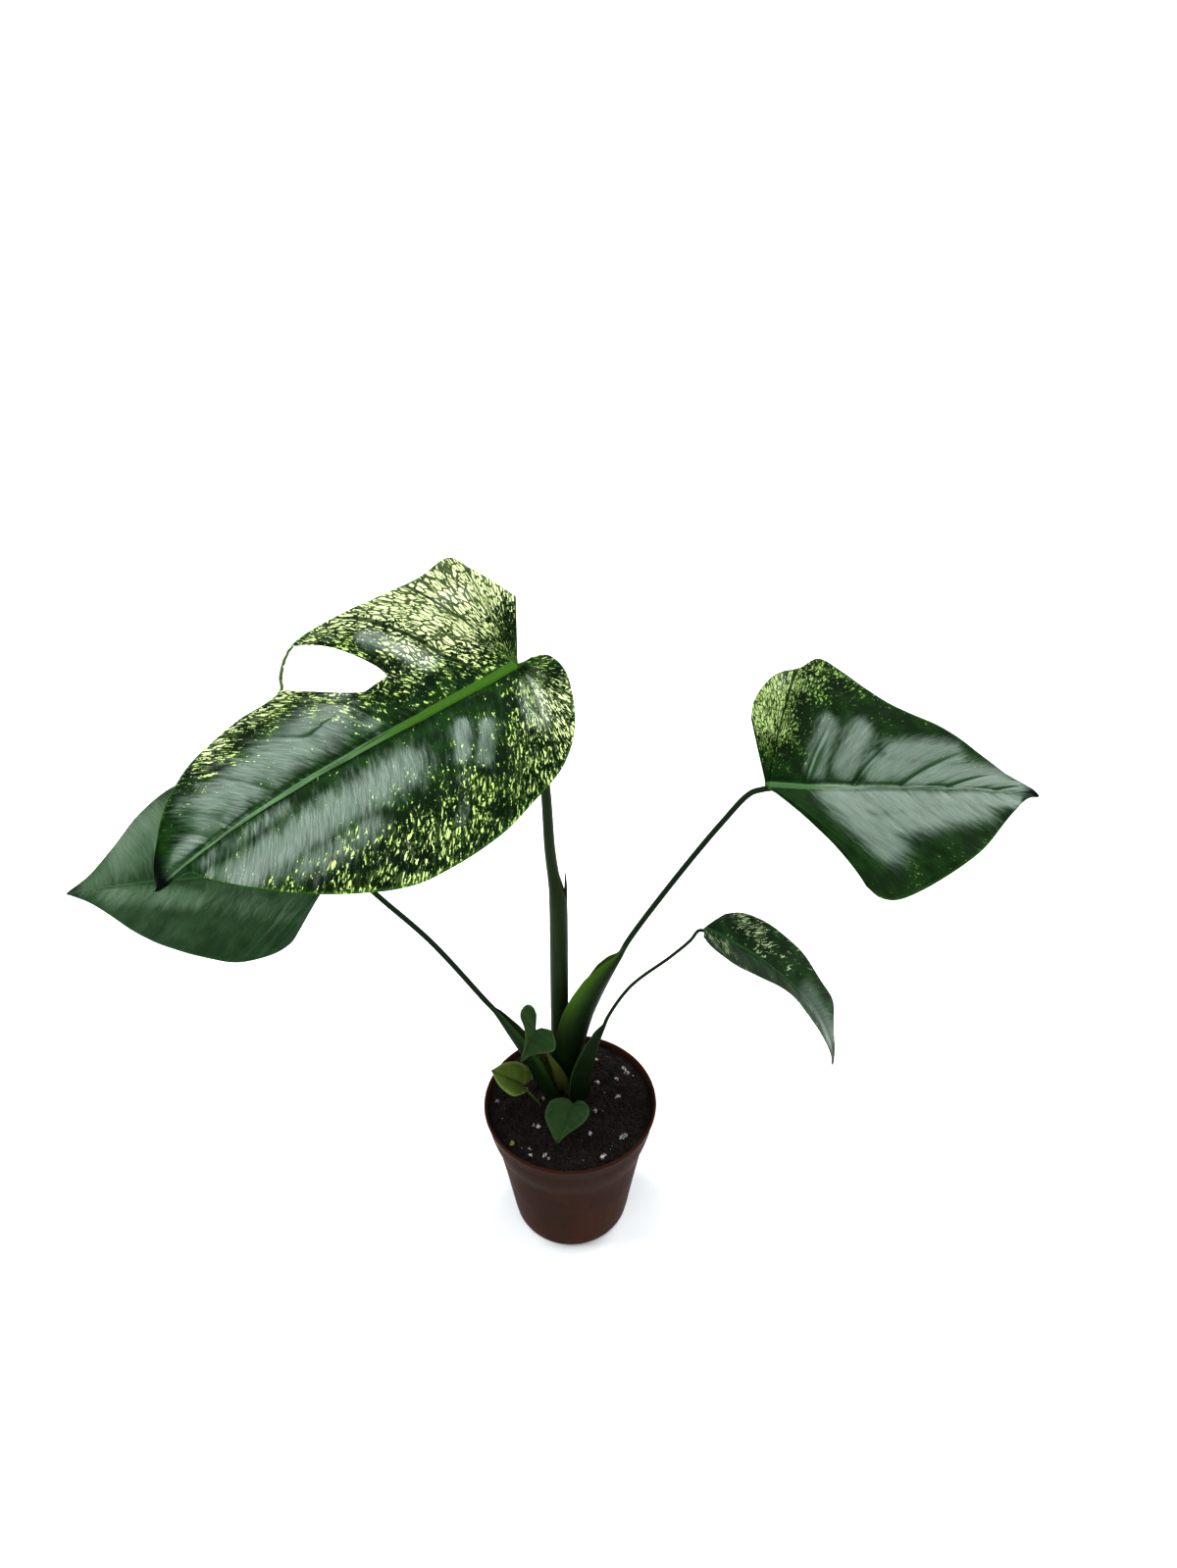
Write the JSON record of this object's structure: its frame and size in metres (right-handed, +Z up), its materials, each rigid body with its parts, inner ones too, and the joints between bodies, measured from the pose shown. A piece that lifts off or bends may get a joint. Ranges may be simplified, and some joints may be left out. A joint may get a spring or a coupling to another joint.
{
  "type": "potted monstera",
  "caption": "Young monstera with cream-speckled heart-shaped leaves on long sheathed stalks, growing in a round tapered nursery pot of soil.",
  "frame": {"origin": "centre of the pot's underside, on the surface that the pot stands on", "axes": "+Z up; +X towards the plant's right, along its widest spread; +Y away from the side that the picture shows"},
  "size_m": [0.5971, 0.1868, 0.4717],
  "materials": {
    "pot": "satin moulded terracotta-brown plastic",
    "soil": "dark fibrous potting mix with white perlite",
    "stem": "matte fibrous rootstock",
    "stalk": "smooth satin dark green",
    "leaf_speckled": "glossy dark green speckled with cream along the veins",
    "leaf_plain": "satin dark green",
    "leaf_glossy": "glossy dark green with a mottled basal lobe",
    "leaf_streaked": "satin dark green with pale streaks",
    "leaf_young": "soft satin green",
    "leaf_pale": "soft yellow-green"
  },
  "bodies": {
    "root": {"pot": "pot", "soil": "soil", "stem": "stem", "petiole_large": "stalk", "petiole_right": "stalk", "petiole_left": "stalk", "petiole_small": "stalk", "blade_large": "leaf_speckled", "blade_left": "leaf_plain", "blade_right": "leaf_glossy", "blade_small": "leaf_streaked", "seedling_upright": "leaf_young", "seedling_heart": "leaf_young", "seedling_pale": "leaf_pale"}
  },
  "joints": []
}
